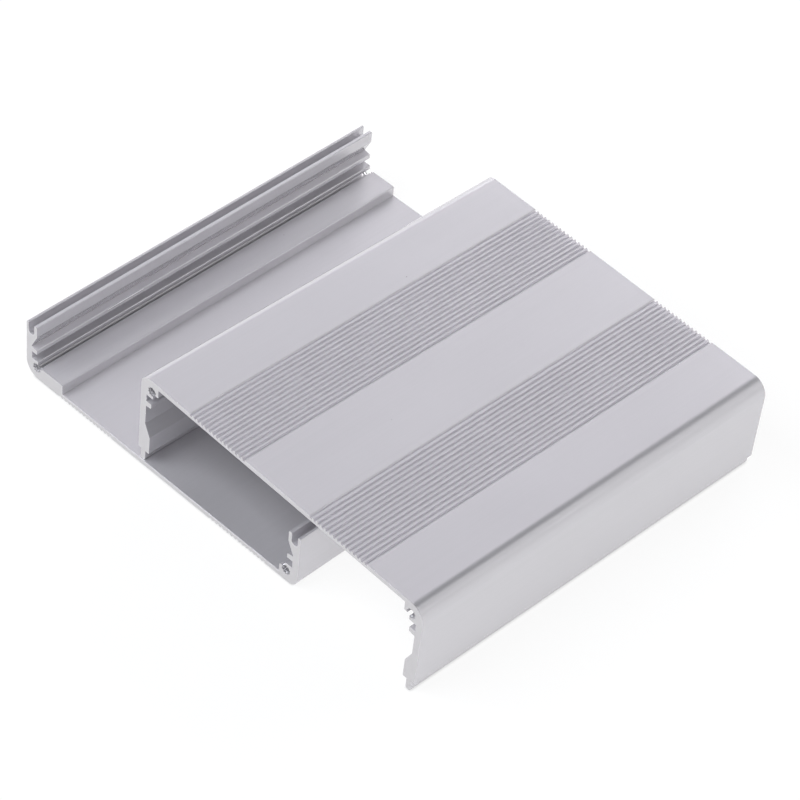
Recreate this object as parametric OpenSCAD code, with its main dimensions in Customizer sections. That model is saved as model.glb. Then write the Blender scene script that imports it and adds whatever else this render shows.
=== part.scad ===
// Extruded aluminium project box in two shells, shown open.
// The cover stands askew over the lower shell: its left foot is on the lower shell's floor,
// its right foot is on the table.
// Origin: middle of the lower shell's underside. +Y runs along the extrusions, +Z is up.

/* [Box] */
// Outside width of both shells
body_w = 88; // [70:1:140]
// Cut length of both shells
body_l = 105; // [60:1:200]
// Outside height of the closed box
body_h = 38; // [34:0.5:60]
// Height of the lower shell's walls, from its underside to the seam
lower_h = 15.4; // [14:0.1:17]
// Thickness of the bottom plate and the top plate
plate_t = 1.3; // [1:0.1:2]
// Thickness of the side walls
wall_t = 1.8; // [1.4:0.05:2.4]
// Radius of the soft outside corner that each shell has
soft_r = 4; // [3:0.1:5]
// Radius of the crisp outside corner that each shell has
crisp_r = 2.6; // [0.5:0.1:3]

/* [Seam] */
// Thickness of the walls beside the seam
seam_t = 3.5; // [3.2:0.1:4.5]
// Height of the thick stretch of the lower shell's walls
lower_thick_h = 3; // [2:0.1:4]
// Height of the thick stretch of the cover's walls
cover_thick_h = 5; // [2:0.1:8]
// Height of the slope between the wall and its thick stretch
slope_h = 3.4; // [2:0.1:5]
// Width of the tongues under the cover's walls
tongue_w = 1.45; // [1.2:0.05:1.8]
// Height of the tongues
tongue_h = 2.8; // [1.5:0.1:3.2]
// Radius of the tongues' lower edges
tongue_r = 0.5; // [0.2:0.05:0.55]
// Distance from the outer face to the middle of the tongue and of its groove
tongue_in = 1.6; // [1.4:0.05:2]
// Clearance between a tongue and the walls and floor of its groove
seam_gap = 0.2; // [0.1:0.05:0.3]
// Radius of the edges of the two lips beside each groove
lip_r = 0.25; // [0.1:0.05:0.3]

/* [Screw ports] */
// Radius of the screw ports
port_r = 1.1; // [0.9:0.05:1.4]
// Distance from the side's outer face to a port's axis
port_in = 3.5; // [3:0.1:5]
// Distance from the plate's outer face to a port's axis
port_up = 3.2; // [2.8:0.1:5]
// Thickness of the two arms around a port
port_arm = 0.95; // [0.6:0.05:1.3]
// Distance from a port's axis to the tips of its arms, measured along each arm
port_reach = 0.4; // [0.2:0.05:0.6]

/* [Board slots] */
// Height of the slots that hold the edges of a circuit board
slot_h = 1.9; // [1.2:0.1:2.5]
// Thickness of the board ribs at their root
rib_t = 1.6; // [1:0.1:2]
// Thickness of the board ribs at their tip
rib_tip_t = 1.3; // [0.8:0.1:1.8]
// Distance from the outer face to the tips of the board ribs
rib_out = 3.5; // [3:0.1:6]

/* [Ledge] */
// Distance from the left outer face to the end of the ledge
ledge_w = 12.2; // [8:0.1:20]
// Height of the ledge above the underside
ledge_h = 4; // [3.5:0.1:4.8]
// Gap between the port and the ledge's upper edge
ledge_gap = 0.55; // [0.3:0.05:0.8]
// Size of the small slope at the ledge's foot
ledge_foot = 0.15; // [0.1:0.05:0.5]

/* [Groove bands] */
// Number of grooves in each band
groove_n = 15; // [5:1:18]
// Distance from one groove to the next
groove_pitch = 1.2; // [1:0.05:1.3]
// Width of the grooves at the surface
groove_w = 0.8; // [0.4:0.05:0.9]
// Width of the grooves at their floor
groove_floor_w = 0.5; // [0.2:0.05:0.7]
// Depth of the grooves on the cover
cover_groove_d = 0.55; // [0.2:0.05:0.7]
// Depth of the grooves under the lower shell
lower_groove_d = 0.3; // [0.2:0.05:0.7]
// Distance between the middles of the two bands on the cover
cover_bands = 37.8; // [30:0.1:45]
// Distance between the middles of the two bands under the lower shell
lower_bands = 49.5; // [30:0.1:50]
// Distance of each pair of bands from the middle of its plate, away from the soft corner
band_shift = 0.6; // [0:0.1:2]

/* [Resting place of the cover] */
// Distance from the lower shell's middle to the cover's middle, to the right
cover_shift = 38.4; // [25:0.1:55]
// Distance from the lower shell's middle to the cover's middle, along the shells
cover_slip = -0.8; // [-5:0.05:5]
// Turn of the cover, seen from above, in degrees
cover_turn = -1.47; // [-3:0.01:3]
// Gap under the foot that stands on the lower shell's floor
foot_gap = 0.02; // [0.01:0.01:0.1]

/* [Hidden] */
$fn = 48;

// How far cuts reach past a face
over = 1;

// Height of the cover's walls, from its top to the seam
cover_h = body_h - lower_h;
// Outer sides of the block around a port
port_block_w = port_in + port_r + port_arm;
port_block_h = port_up + port_r + port_arm;
// Side of the board rib that faces the slot
rib_z = port_block_h + slot_h;
// Groove that takes a tongue
seam_w = tongue_w + 2 * seam_gap;
seam_d = tongue_h + seam_gap;

// The cover leans on its two feet: the floor lifts the left one
foot_flat = tongue_w - 2 * tongue_r;
foot_span = body_w - 2 * tongue_in;
lean = asin((plate_t + foot_gap) / foot_span);
left_foot_x = tongue_in - body_w / 2 + foot_flat / 2;
cover_z = plate_t + foot_gap + left_foot_x * sin(lean) + tongue_r * (1 - cos(lean));

// What is cut away to round an outside corner at the origin
module corner_cut(radius) {
    difference() {
        translate([-over, -over]) square(radius + over);
        translate([radius, radius]) circle(radius);
    }
}

// Puts a shape on the left side and its mirror image on the right side
module both_sides() {
    children();
    translate([body_w, 0]) mirror([1, 0]) children();
}

// The wall of one side, from the plate at y = 0 to the seam, with its outer face at x = 0
module side_wall(wall_h, thick_h) {
    slope_z = wall_h - thick_h - slope_h;
    square([wall_t, wall_h]);
    polygon([
        [0, slope_z],
        [wall_t, slope_z],
        [seam_t, wall_h - thick_h],
        [seam_t, wall_h],
        [0, wall_h]
    ]);
}

// Rib that holds a board down in its slot
module board_rib() {
    polygon([
        [0, rib_z],
        [rib_out, rib_z],
        [rib_out, rib_z + rib_tip_t],
        [wall_t, rib_z + rib_t],
        [0, rib_z + rib_t]
    ]);
}

// Two arms that hold a screw port in the corner, open towards the middle of the box
module port_arms() {
    difference() {
        square([port_block_w, port_block_h]);
        translate([port_in + port_reach, port_up + port_reach]) square(port_block_w);
    }
}

// Two bands of fine grooves in the plate's outer face
module groove_bands(bands, groove_d) {
    middle = body_w / 2 + band_shift;
    first = -(groove_n - 1) / 2 * groove_pitch;
    for (band = [middle - bands / 2, middle + bands / 2], i = [0 : groove_n - 1])
        translate([band + first + i * groove_pitch, 0])
            polygon([
                [-groove_w / 2, -over],
                [groove_w / 2, -over],
                [groove_w / 2, 0],
                [groove_floor_w / 2, groove_d],
                [-groove_floor_w / 2, groove_d],
                [-groove_w / 2, 0]
            ]);
}

// Profile of a shell with its plate at y = 0 and its soft corner on the left; children are added to it
module shell_profile(wall_h, thick_h, bands, groove_d) {
    difference() {
        union() {
            square([body_w, plate_t]);
            both_sides() {
                side_wall(wall_h, thick_h);
                board_rib();
                port_arms();
            }
            children();
        }
        both_sides() translate([port_in, port_up]) circle(port_r);
        corner_cut(soft_r);
        translate([body_w, 0]) mirror([1, 0]) corner_cut(crisp_r);
        groove_bands(bands, groove_d);
    }
}

// Ledge beside the lower shell's left port
module ledge() {
    ledge_in = port_in + port_r + ledge_gap;
    polygon([
        [ledge_in, 0],
        [ledge_w + ledge_foot, 0],
        [ledge_w + ledge_foot, plate_t],
        [ledge_w, plate_t + ledge_foot],
        [ledge_w, ledge_h],
        [ledge_in, ledge_h]
    ]);
}

// Groove with a round floor in the top of the lower shell's wall
module seam_groove() {
    floor_z = lower_h - seam_d + seam_w / 2;
    translate([tongue_in, floor_z]) circle(seam_w / 2);
    translate([tongue_in - seam_w / 2, floor_z]) square([seam_w, seam_d]);
}

// Rounding of the edges of the two lips beside a seam groove
module lip_edges() {
    for (edge = [0, tongue_in + seam_w / 2])
        translate([edge, lower_h]) mirror([0, 1]) corner_cut(lip_r);
    for (edge = [tongue_in - seam_w / 2, seam_t])
        translate([edge, lower_h]) rotate(180) corner_cut(lip_r);
}

// Tongue under the cover's wall, with rounded lower edges
module tongue() {
    round_z = cover_h + tongue_h - tongue_r;
    translate([tongue_in - tongue_w / 2, cover_h - over]) square([tongue_w, round_z - cover_h + over]);
    translate([tongue_in - foot_flat / 2, cover_h]) square([foot_flat, tongue_h]);
    for (edge = [-1, 1])
        translate([tongue_in + edge * foot_flat / 2, round_z]) circle(tongue_r);
}

module lower_profile() {
    difference() {
        shell_profile(lower_h, lower_thick_h, lower_bands, lower_groove_d) ledge();
        both_sides() {
            seam_groove();
            lip_edges();
        }
    }
}

module upper_profile() {
    shell_profile(cover_h, cover_thick_h, cover_bands, cover_groove_d) both_sides() tongue();
}

// Draws a profile out along Y, with its middle at x = 0
module extrusion() {
    rotate([90, 0, 0]) linear_extrude(body_l, center = true) translate([-body_w / 2, 0]) children();
}

module lower_shell() {
    color([0.76, 0.76, 0.78]) extrusion() lower_profile();
}

// The cover's profile is the same way up as the lower shell's until it is turned over here
module upper_shell() {
    color([0.8, 0.8, 0.82])
        translate([cover_shift, cover_slip, cover_z])
            rotate([0, lean, cover_turn])
                extrusion() translate([body_w, cover_h + tongue_h]) rotate(180) upper_profile();
}

lower_shell();
upper_shell();
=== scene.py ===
# Extruded aluminium project box, shown open: the finish of its two shells, the studio and the camera.
# Places and sizes are in metres, in the part's own frame: +Y along the extrusions, +Z up.
import math

import bmesh
import bpy
from mathutils import Matrix, Vector


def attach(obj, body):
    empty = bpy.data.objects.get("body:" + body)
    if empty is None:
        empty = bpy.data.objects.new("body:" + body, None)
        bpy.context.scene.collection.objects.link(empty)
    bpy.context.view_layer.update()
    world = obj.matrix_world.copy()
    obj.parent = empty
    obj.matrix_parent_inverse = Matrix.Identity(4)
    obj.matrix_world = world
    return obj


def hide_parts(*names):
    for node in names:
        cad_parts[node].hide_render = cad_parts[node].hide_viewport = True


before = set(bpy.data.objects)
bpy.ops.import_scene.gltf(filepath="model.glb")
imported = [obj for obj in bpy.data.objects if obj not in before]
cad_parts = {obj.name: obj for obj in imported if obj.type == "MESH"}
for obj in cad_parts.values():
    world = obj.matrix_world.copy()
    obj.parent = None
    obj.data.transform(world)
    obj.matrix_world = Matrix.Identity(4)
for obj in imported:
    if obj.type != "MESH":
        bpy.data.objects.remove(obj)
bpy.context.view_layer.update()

MM = 0.001

# Edges: the drawn ones are rounded, less beside narrow faces, and the sawn ones are only broken
DRAWN_EDGE = 0.22 * MM
LEAST_ROUNDING = 0.12 * MM
SAWN_EDGE = 0.05 * MM
FACE_SHARE = 0.28
EDGE_STEPS = 2
MERGE_DISTANCE = 0.001 * MM
FLAT_ANGLE = math.radians(0.2)
END_FACE_COSINE = 0.999

# Folds between flat faces stay sharp; the narrow facets of small roundings may meet at a wider angle
FOLD_ANGLE = math.radians(24)
FACET_ANGLE = math.radians(50)
FACET_WIDTH = 0.45 * MM

# Colours of the metal, as linear light, and how far each one varies
SATIN_COLOUR = (0.645, 0.631, 0.656)
SATIN_SPREAD = 0.05
SAWN_COLOUR = (0.53, 0.515, 0.525)
SAWN_SPREAD = 0.06
EDGE_SPREAD = 0.04
# Painted light: a lighter colour inside the grooves, so their walls read brighter than the lamps make
# them
PAINTED_GROOVE_LIGHT = (0.722, 0.706, 0.734)
SPECK_SHADE = 0.55
# Painted shade: the gaps between the teeth around the screw ports on the cut ends are darkened, as
# hollows in shadow
NOTCH_PAINTED_SHADE = 0.3
METAL_SHARE = 0.62

# Least and most roughness of each finish
SATIN_ROUGHNESS = (0.22, 0.29)
SAWN_ROUGHNESS = (0.36, 0.5)
EDGE_ROUGHNESS = (0.22, 0.3)

# Patterns in the metal: how often each one repeats per millimetre along a shell's axes, and its detail
DIE_LINES = ((2.2, 0.012, 2.2), 5.0)
GRAIN = ((9.0, 9.0, 9.0), 3.0)
CLOUDS = ((0.05, 0.03, 0.05), 2.0)
SAW_MARKS = ((5.0, 1.0, 1.0), 4.0)
EDGE_WEAR = ((1.5, 0.03, 1.5), 3.0)

# Relief of the patterns: strength and depth
DIE_LINES_RELIEF = (0.15, 0.01 * MM)
GRAIN_RELIEF = (0.1, 0.01 * MM)
SAW_RELIEF = (0.3, 0.02 * MM)
THREAD_RELIEF = (0.7, MM)

# From the middle of the saw blade to the middle of a shell, in millimetres
FROM_BLADE = (60.0, 0.0, 140.0)

# Dark specks: cells per millimetre, the share of cells without one, and the radius in a cell
SPECK_CELLS = 0.33
SPECK_FREE = 0.95
SPECK_RADIUS = 0.05

# Places of the materials on each shell
SATIN, SAWN, EDGE = range(3)

# Groove bands, which get painted light, in millimetres from a shell's middle and from the outside of its
# plate
BANDS_REACH = 38.0
GROOVE_FROM = 0.06
GROOVE_TO = 0.7

# Screw ports, in millimetres from a shell's middle and its plate, with the small teeth around their bores
PORT_ACROSS = 40.5
PORT_UP = 3.2
PORT_REACH = 1.3
PORT_TEETH = 10
TEETH_START = 51.0
THREAD_PITCH = 0.9
# Teeth above this share get painted shade on the cut ends
NOTCH_FROM = 0.6

# Camera, as the photograph was taken
CAMERA_PLACE = Vector((0.36911, -0.40632, 0.53077))
CAMERA_AIM = Vector((-0.46340, 0.54286, -0.70040))
CAMERA_RIGHT = Vector((0.70591, 0.70393, 0.07856))
CAMERA_NEAR = 0.01
CAMERA_FAR = 100.0
FOCAL_PIXELS = 3347.21
PICTURE_PIXELS = 800
SENSOR_WIDTH = 36.0

# Studio panels: the direction along each, the middles of its upper and lower edge, length, radiance, tint
ALONG_X = Vector((1, 0, 0))
ALONG_Y = Vector((0, 1, 0))
WHITE = (1.0, 1.0, 1.0)
COOL = (0.965, 1.0, 1.035)
VIOLET = (1.0, 0.97, 1.035)
PANELS = {
    "left_panel": (ALONG_Y, (-0.1, 1.62, 0.969), (-1.05, 1.62, 0.35), 2.8, 0.575, VIOLET),
    "right_panel": (ALONG_Y, (0.4, 0.53, 0.877), (1.08, 0.53, 0.438), 0.44, 0.71, WHITE),
    "key_panel": (ALONG_X, (-0.65, -0.45, 1.3), (-0.65, -0.8, 0.675), 1.3, 4.9, COOL),
    "front_panel": (ALONG_X, (0.0, -0.45, 1.3), (0.0, -1.15, 0.05), 2.6, 1.5, COOL),
    "back_panel": (ALONG_X, (-0.1, 1.0, 0.7), (-0.1, 1.2, 0.05), 1.8, 4.3, WHITE),
}

# Reflections show all the panels but the wide one in front, which only lights the box
UNMIRRORED = ("front_panel",)

# World: what reflections show fades from white, between two heights of the direction, to the roof's light
ROOF_FROM = 0.1
ROOF_TO = 0.6
ROOF_LIGHT = 0.0
FILL_LIGHT = 0.03

# Floor: it lies just under the box and glows white; its glow is dimmed close to what stands on it, as
# painted shadow
FLOOR_COLOUR = (0.95, 0.95, 0.95, 1.0)
FLOOR_SIZE = 12.0
FLOOR_DROP = 0.05 * MM
FLOOR_GLOW = 0.9
CONTACT_REACH = 0.5 * MM
PAINTED_CONTACT_SHADE = 0.6


def add_node(tree, kind, inputs=None, **settings):
    """Adds a shader node; an input may be a value or another node's output."""
    node = tree.nodes.new(kind)
    for name, value in settings.items():
        setattr(node, name, value)
    for name, value in (inputs or {}).items():
        if isinstance(value, bpy.types.NodeSocket):
            tree.links.new(value, node.inputs[name])
        else:
            node.inputs[name].default_value = value
    return node


def maths(tree, operation, *values):
    """One sum on numbers or sockets."""
    node = add_node(tree, "ShaderNodeMath", dict(enumerate(values)), operation=operation)
    return node.outputs[0]


def vector_length(tree, vector):
    """Length of a vector."""
    node = add_node(tree, "ShaderNodeVectorMath", {0: vector}, operation="LENGTH")
    return node.outputs["Value"]


def ranged(tree, value, low, high):
    """Maps 0 to 1 onto low to high."""
    node = add_node(
        tree, "ShaderNodeMapRange", {"Value": value, "To Min": low, "To Max": high}
    )
    return node.outputs["Result"]


def blended(tree, share, first, second):
    """From the first colour to the second where the share runs from 0 to 1."""
    mix = add_node(tree, "ShaderNodeMix", {0: share, 6: first, 7: second}, data_type="RGBA")
    return mix.outputs[2]


def shaded(colour, shade):
    """The colour times the shade, as a socket takes it."""
    return [c * shade for c in colour] + [1.0]


def tinted(tree, colour, value, spread):
    """The colour, darker and lighter by the spread where the value runs from 0 to 1."""
    return blended(tree, value, shaded(colour, 1 - spread), shaded(colour, 1 + spread))


def relief(tree, strength, depth, height, under=None):
    """Surface direction over a relief, which may lie on another relief."""
    inputs = {"Strength": strength, "Distance": depth, "Height": height}
    if under is not None:
        inputs["Normal"] = under
    return add_node(tree, "ShaderNodeBump", inputs).outputs["Normal"]


def stretched_noise(tree, position, scale, detail):
    """Noise with its own scale along each axis, from 0 to 1."""
    stretched = add_node(
        tree, "ShaderNodeVectorMath", {0: position, 1: scale}, operation="MULTIPLY"
    )
    noise = add_node(
        tree,
        "ShaderNodeTexNoise",
        {"Vector": stretched.outputs["Vector"], "Scale": 1.0, "Detail": detail},
    )
    return noise.outputs["Fac"]


def new_material(name):
    """An empty material with its output, ready for a shader."""
    material = bpy.data.materials.new(name)
    material.use_nodes = True
    tree = material.node_tree
    tree.nodes.clear()
    output = add_node(tree, "ShaderNodeOutputMaterial")
    return material, tree, output


def new_metal(tree, output, inputs):
    """Gives a material its metal, with the inputs that make its finish."""
    metal = add_node(tree, "ShaderNodeBsdfPrincipled", {"Metallic": METAL_SHARE, **inputs})
    tree.links.new(metal.outputs["BSDF"], output.inputs["Surface"])


def shell_millimetres(tree, axes, middle):
    """Position on a shell in millimetres: x across it, y along it, z from the outside of its plate."""
    place = add_node(tree, "ShaderNodeTexCoord")
    mapping = add_node(
        tree,
        "ShaderNodeMapping",
        {
            "Vector": place.outputs["Object"],
            "Location": -middle / MM,
            "Rotation": axes.transposed().to_euler(),
            "Scale": (1 / MM, 1 / MM, 1 / MM),
        },
    )
    return mapping.outputs["Vector"]


def port_teeth(tree, position):
    """From 0 to 1 across each tooth around the screw ports, near the cut ends; 0 away from them."""
    parts = add_node(tree, "ShaderNodeSeparateXYZ", {"Vector": position})
    across = maths(tree, "SUBTRACT", maths(tree, "ABSOLUTE", parts.outputs["X"]), PORT_ACROSS)
    above = maths(tree, "SUBTRACT", maths(tree, "ABSOLUTE", parts.outputs["Z"]), PORT_UP)
    from_axis = add_node(tree, "ShaderNodeCombineXYZ", {"X": across, "Z": above})
    distance = vector_length(tree, from_axis.outputs["Vector"])
    in_port = maths(tree, "LESS_THAN", distance, PORT_REACH)
    along = maths(tree, "ABSOLUTE", parts.outputs["Y"])
    at_end = maths(tree, "GREATER_THAN", along, TEETH_START)
    around = maths(tree, "MULTIPLY", maths(tree, "ARCTAN2", above, across), PORT_TEETH / math.pi)
    tooth = maths(tree, "PINGPONG", around, 1.0)
    return maths(tree, "MULTIPLY", tooth, maths(tree, "MULTIPLY", in_port, at_end))


def threaded_teeth(tree, position):
    """Height of the teeth around the screw ports, cut by the thread of a screw."""
    parts = add_node(tree, "ShaderNodeSeparateXYZ", {"Vector": position})
    thread = maths(tree, "PINGPONG", parts.outputs["Y"], THREAD_PITCH / 2)
    return maths(tree, "MULTIPLY", port_teeth(tree, position), thread)


def in_grooves(tree, position):
    """1 inside the fine grooves of the plates, else 0."""
    parts = add_node(tree, "ShaderNodeSeparateXYZ", {"Vector": position})
    across = maths(tree, "ABSOLUTE", parts.outputs["X"])
    depth = maths(tree, "ABSOLUTE", parts.outputs["Z"])
    below = maths(tree, "GREATER_THAN", depth, GROOVE_FROM)
    above = maths(tree, "LESS_THAN", depth, GROOVE_TO)
    beside = maths(tree, "LESS_THAN", across, BANDS_REACH)
    return maths(tree, "MULTIPLY", beside, maths(tree, "MULTIPLY", below, above))


def specks(tree, position):
    """1 at a few small dark specks, else 0."""
    cells = add_node(tree, "ShaderNodeTexVoronoi", {"Vector": position, "Scale": SPECK_CELLS})
    parts = add_node(tree, "ShaderNodeSeparateColor", {"Color": cells.outputs["Color"]})
    chosen = maths(tree, "GREATER_THAN", parts.outputs["Red"], SPECK_FREE)
    small = maths(tree, "LESS_THAN", cells.outputs["Distance"], SPECK_RADIUS)
    return maths(tree, "MULTIPLY", chosen, small)


def satin_anodised(name, axes, middle):
    """Drawn faces: etched and anodised, with faint die lines along the extrusion, and painted light that
    makes their grooves lighter.
    """
    material, tree, output = new_material(name)
    position = shell_millimetres(tree, axes, middle)
    die_lines = stretched_noise(tree, position, *DIE_LINES)
    grain = stretched_noise(tree, position, *GRAIN)
    clouds = stretched_noise(tree, position, *CLOUDS)
    finish = maths(tree, "MULTIPLY", maths(tree, "ADD", die_lines, clouds), 0.5)
    plain = tinted(tree, SATIN_COLOUR, finish, SATIN_SPREAD)
    # Painted light: the grooves take a lighter colour than the rest of the plate
    painted_groove_light = tinted(tree, PAINTED_GROOVE_LIGHT, finish, SATIN_SPREAD)
    with_painted_groove_light = blended(tree, in_grooves(tree, position), plain, painted_groove_light)
    speck = shaded(SATIN_COLOUR, SPECK_SHADE)
    teeth = relief(tree, *THREAD_RELIEF, threaded_teeth(tree, position))
    lines = relief(tree, *DIE_LINES_RELIEF, die_lines, teeth)
    inputs = {
        "Base Color": blended(tree, specks(tree, position), with_painted_groove_light, speck),
        "Roughness": ranged(tree, finish, *SATIN_ROUGHNESS),
        "Normal": relief(tree, *GRAIN_RELIEF, grain, lines),
    }
    new_metal(tree, output, inputs)
    return material


def sawn_end(name, axes, middle):
    """Cut ends: fine arcs left by the saw blade, and painted shade that darkens the gaps between the
    teeth around the screw ports.
    """
    material, tree, output = new_material(name)
    position = shell_millimetres(tree, axes, middle)
    from_blade = add_node(
        tree, "ShaderNodeVectorMath", {0: position, 1: FROM_BLADE}, operation="ADD"
    )
    parts = add_node(tree, "ShaderNodeSeparateXYZ", {"Vector": from_blade.outputs["Vector"]})
    flat = add_node(
        tree, "ShaderNodeCombineXYZ", {"X": parts.outputs["X"], "Z": parts.outputs["Z"]}
    )
    radius = vector_length(tree, flat.outputs["Vector"])
    arc = add_node(tree, "ShaderNodeCombineXYZ", {"X": radius})
    marks = stretched_noise(tree, arc.outputs["Vector"], *SAW_MARKS)
    # Painted shade: the gaps between the teeth around each bore are darkened
    painted_notch_shade = maths(tree, "GREATER_THAN", port_teeth(tree, position), NOTCH_FROM)
    plain = tinted(tree, SAWN_COLOUR, marks, SAWN_SPREAD)
    inputs = {
        "Base Color": blended(tree, painted_notch_shade, plain, shaded(SAWN_COLOUR, NOTCH_PAINTED_SHADE)),
        "Roughness": ranged(tree, marks, *SAWN_ROUGHNESS),
        "Normal": relief(tree, *SAW_RELIEF, marks),
    }
    new_metal(tree, output, inputs)
    return material


def rounded_edge(name, axes, middle):
    """Rounded and broken edges: like the drawn faces, with longer and calmer marks."""
    material, tree, output = new_material(name)
    position = shell_millimetres(tree, axes, middle)
    wear = stretched_noise(tree, position, *EDGE_WEAR)
    inputs = {
        "Base Color": tinted(tree, SATIN_COLOUR, wear, EDGE_SPREAD),
        "Roughness": ranged(tree, wear, *EDGE_ROUGHNESS),
    }
    new_metal(tree, output, inputs)
    return material


def shell_axes(mesh):
    """Directions of a shell as columns: across it, along the extrusion, out of its plate."""
    places = [v.co for v in mesh.vertices]
    edges = [places[e.vertices[1]] - places[e.vertices[0]] for e in mesh.edges]
    along = max(edges, key=lambda e: e.length).normalized()
    along *= math.copysign(1.0, along.y)
    plate = max(mesh.polygons, key=lambda p: p.area).normal.copy()
    plate *= math.copysign(1.0, plate.z)
    across = along.cross(plate).normalized()
    return Matrix((across, along, across.cross(along))).transposed()


def shell_middle(mesh, axes):
    """Middle of the outside of a shell's plate, along the shell's axes."""
    places = [axes.transposed() @ v.co for v in mesh.vertices]
    low = Vector(map(min, zip(*places)))
    high = Vector(map(max, zip(*places)))
    inside = max(mesh.polygons, key=lambda p: p.area).normal
    middle = (low + high) / 2
    middle.z = low.z if inside.z > 0 else high.z
    return middle


def face_width(face):
    """Width of a long face, across its longest edge."""
    return face.calc_area() / max(edge.calc_length() for edge in face.edges)


def mark_folds(mesh):
    """Marks the folds that stay sharp."""
    shell = bmesh.new()
    shell.from_mesh(mesh)
    for edge in shell.edges:
        rounding = min(face_width(face) for face in edge.link_faces) < FACET_WIDTH
        if edge.calc_face_angle() > (FACET_ANGLE if rounding else FOLD_ANGLE):
            mesh.edges[edge.index].use_edge_sharp = True
    shell.free()


def edge_shares(mesh, sawn):
    """Share of the rounding that each outward edge gets, for the sawn edges or the drawn ones."""
    shell = bmesh.new()
    shell.from_mesh(mesh)
    shares = [0.0] * len(shell.edges)
    for edge in shell.edges:
        beside_end = any(face.material_index == SAWN for face in edge.link_faces)
        if edge.smooth or not edge.is_convex or beside_end != sawn:
            continue
        room = FACE_SHARE * min(face_width(face) for face in edge.link_faces)
        if sawn:
            shares[edge.index] = 1.0
        elif room > LEAST_ROUNDING:
            shares[edge.index] = min(1.0, room / DRAWN_EDGE)
    shell.free()
    return shares


def round_edges(shell, width, shares):
    """Rounds the edges of a shell by their shares of the width."""
    weights = shell.data.attributes.get("bevel_weight_edge")
    if weights is None:
        weights = shell.data.attributes.new("bevel_weight_edge", "FLOAT", "EDGE")
    weights.data.foreach_set("value", shares)
    bevel = shell.modifiers.new("rounded edges", "BEVEL")
    bevel.width = width
    bevel.segments = EDGE_STEPS
    bevel.limit_method = "WEIGHT"
    bevel.use_clamp_overlap = False
    bevel.harden_normals = True
    bevel.material = EDGE
    bpy.ops.object.modifier_apply(modifier=bevel.name)


def finished_shell(node_name, piece_name):
    """A copy of a shell's solid with its edges rounded and its faces sorted by finish."""
    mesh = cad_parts[node_name].data.copy()
    mesh.name = piece_name
    mesh.materials.clear()
    shell = bpy.data.objects.new(piece_name, mesh)
    bpy.context.scene.collection.objects.link(shell)
    bpy.ops.object.select_all(action="DESELECT")
    shell.select_set(True)
    bpy.context.view_layer.objects.active = shell
    bpy.ops.mesh.customdata_custom_splitnormals_clear()
    bpy.ops.object.mode_set(mode="EDIT")
    bpy.ops.mesh.select_all(action="SELECT")
    bpy.ops.mesh.remove_doubles(threshold=MERGE_DISTANCE)
    bpy.ops.mesh.dissolve_limited(angle_limit=FLAT_ANGLE)
    bpy.ops.object.mode_set(mode="OBJECT")

    axes = shell_axes(mesh)
    middle = shell_middle(mesh, axes)
    mesh.materials.append(satin_anodised(piece_name + "_satin", axes, middle))
    mesh.materials.append(sawn_end(piece_name + "_sawn", axes, middle))
    mesh.materials.append(rounded_edge(piece_name + "_edge", axes, middle))
    along = axes.col[1]
    for face in mesh.polygons:
        at_end = abs(face.normal.dot(along)) > END_FACE_COSINE
        face.material_index = SAWN if at_end else SATIN

    mark_folds(mesh)
    round_edges(shell, DRAWN_EDGE, edge_shares(mesh, sawn=False))
    mark_folds(mesh)
    round_edges(shell, SAWN_EDGE, edge_shares(mesh, sawn=True))
    bpy.ops.object.shade_smooth_by_angle(angle=FACET_ANGLE, keep_sharp_edges=True)
    normals = shell.modifiers.new("flat faces stay flat", "WEIGHTED_NORMAL")
    normals.keep_sharp = True
    bpy.ops.object.modifier_apply(modifier=normals.name)

    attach(shell, "root")
    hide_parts(node_name)


def seen_rays(tree, path):
    """1 for the rays that show a surface: those of the camera, reflections and glass."""
    camera_or_glossy = maths(
        tree, "MAXIMUM", path.outputs["Is Camera Ray"], path.outputs["Is Glossy Ray"]
    )
    return maths(tree, "MAXIMUM", camera_or_glossy, path.outputs["Is Transmission Ray"])


def white_floor():
    """A plain white floor that keeps a faint shadow: cast by the lamps on its matt share, and painted
    into its glow close to what stands on it.
    """
    bpy.ops.object.select_all(action="DESELECT")
    bpy.ops.mesh.primitive_plane_add(size=FLOOR_SIZE, location=(0, 0, -FLOOR_DROP))
    floor = bpy.context.object
    floor.name = "floor"
    material, tree, output = new_material("white_floor")
    path = add_node(tree, "ShaderNodeLightPath")
    matt = add_node(tree, "ShaderNodeBsdfDiffuse", {"Color": FLOOR_COLOUR})
    # Painted shadow: the glow is dimmed where ambient occlusion finds the box close by
    occlusion_for_painted_shadow = add_node(tree, "ShaderNodeAmbientOcclusion", {"Distance": CONTACT_REACH})
    strength = ranged(tree, occlusion_for_painted_shadow.outputs["AO"], PAINTED_CONTACT_SHADE, 1.0)
    glow = add_node(tree, "ShaderNodeEmission", {"Color": (1, 1, 1, 1), "Strength": strength})
    share = maths(tree, "MULTIPLY", seen_rays(tree, path), FLOOR_GLOW)
    mix = add_node(
        tree,
        "ShaderNodeMixShader",
        {0: share, 1: matt.outputs["BSDF"], 2: glow.outputs["Emission"]},
    )
    tree.links.new(mix.outputs["Shader"], output.inputs["Surface"])
    floor.data.materials.append(material)


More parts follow.
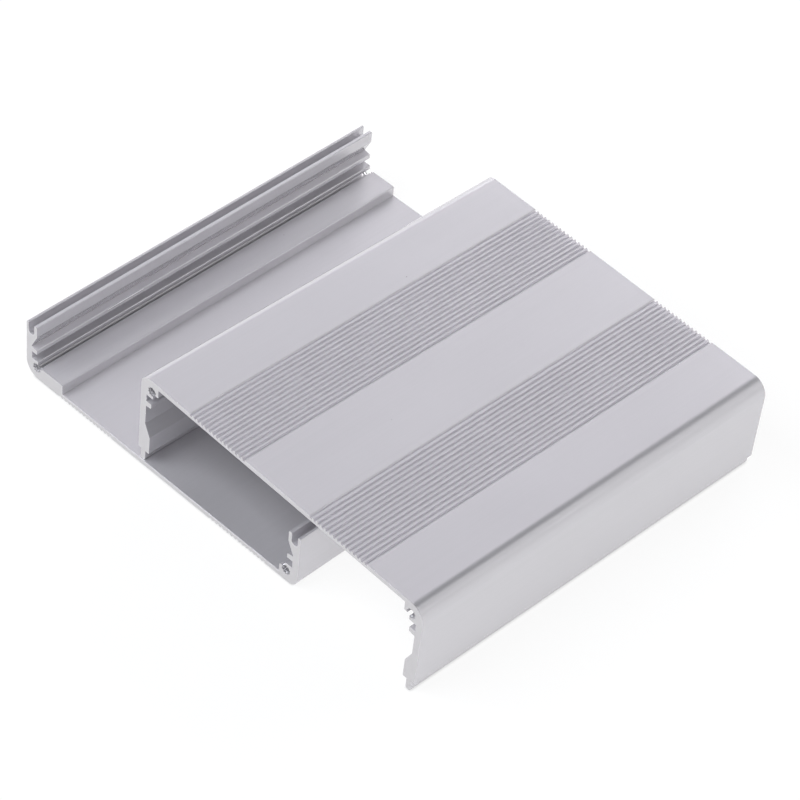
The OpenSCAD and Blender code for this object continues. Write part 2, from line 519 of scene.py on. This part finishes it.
def studio_world():
    """White at the horizon for what is seen, dimmer overhead, and a plain fill for the rest."""
    world = bpy.data.worlds.new("studio")
    bpy.context.scene.world = world
    world.use_nodes = True
    tree = world.node_tree
    tree.nodes.clear()
    output = add_node(tree, "ShaderNodeOutputWorld")
    path = add_node(tree, "ShaderNodeLightPath")
    place = add_node(tree, "ShaderNodeTexCoord")
    parts = add_node(tree, "ShaderNodeSeparateXYZ", {"Vector": place.outputs["Generated"]})
    roof = add_node(
        tree,
        "ShaderNodeMapRange",
        {
            "Value": parts.outputs["Z"],
            "From Min": ROOF_FROM,
            "From Max": ROOF_TO,
            "To Min": 1.0,
            "To Max": ROOF_LIGHT,
        },
    )
    backdrop = maths(tree, "MAXIMUM", roof.outputs["Result"], path.outputs["Is Camera Ray"])
    level = add_node(
        tree,
        "ShaderNodeMix",
        {0: seen_rays(tree, path), 2: FILL_LIGHT, 3: backdrop},
        data_type="FLOAT",
    )
    light = add_node(
        tree, "ShaderNodeBackground", {"Color": (1, 1, 1, 1), "Strength": level.outputs[0]}
    )
    tree.links.new(light.outputs["Background"], output.inputs["Surface"])


def soft_panel(name, run, upper, lower, length, radiance, tint):
    """A soft panel between its upper and lower edge, which lie along the run, facing the object."""
    upper, lower = Vector(upper), Vector(lower)
    width = (upper - lower).length
    data = bpy.data.lights.new(name, "AREA")
    data.shape = "RECTANGLE"
    data.size = width
    data.size_y = length
    data.energy = math.pi * width * length * radiance
    data.color = tint
    panel = bpy.data.objects.new(name, data)
    bpy.context.scene.collection.objects.link(panel)
    middle = (upper + lower) / 2
    slope = (upper - lower).normalized()
    back = slope.cross(run)
    if back.dot(middle) < 0:
        slope, back = -slope, -back
    turn = Matrix((slope, run, back)).transposed().to_4x4()
    panel.matrix_world = Matrix.Translation(middle) @ turn
    panel.visible_camera = False
    panel.visible_glossy = name not in UNMIRRORED


def photo_camera():
    """The camera, where the photograph was taken from."""
    data = bpy.data.cameras.new("camera")
    data.sensor_width = SENSOR_WIDTH
    data.lens = FOCAL_PIXELS / PICTURE_PIXELS * SENSOR_WIDTH
    data.clip_start = CAMERA_NEAR
    data.clip_end = CAMERA_FAR
    camera = bpy.data.objects.new("camera", data)
    bpy.context.scene.collection.objects.link(camera)
    back = -CAMERA_AIM.normalized()
    right = (CAMERA_RIGHT - back * CAMERA_RIGHT.dot(back)).normalized()
    turn = Matrix((right, back.cross(right), back)).transposed().to_4x4()
    camera.matrix_world = Matrix.Translation(CAMERA_PLACE) @ turn
    bpy.context.scene.camera = camera


finished_shell("lower_shell", "lower_shell_finished")
finished_shell("upper_shell", "upper_shell_finished")
white_floor()
studio_world()
for panel_name, panel in PANELS.items():
    soft_panel(panel_name, *panel)
photo_camera()
bpy.context.scene.view_settings.view_transform = "Standard"
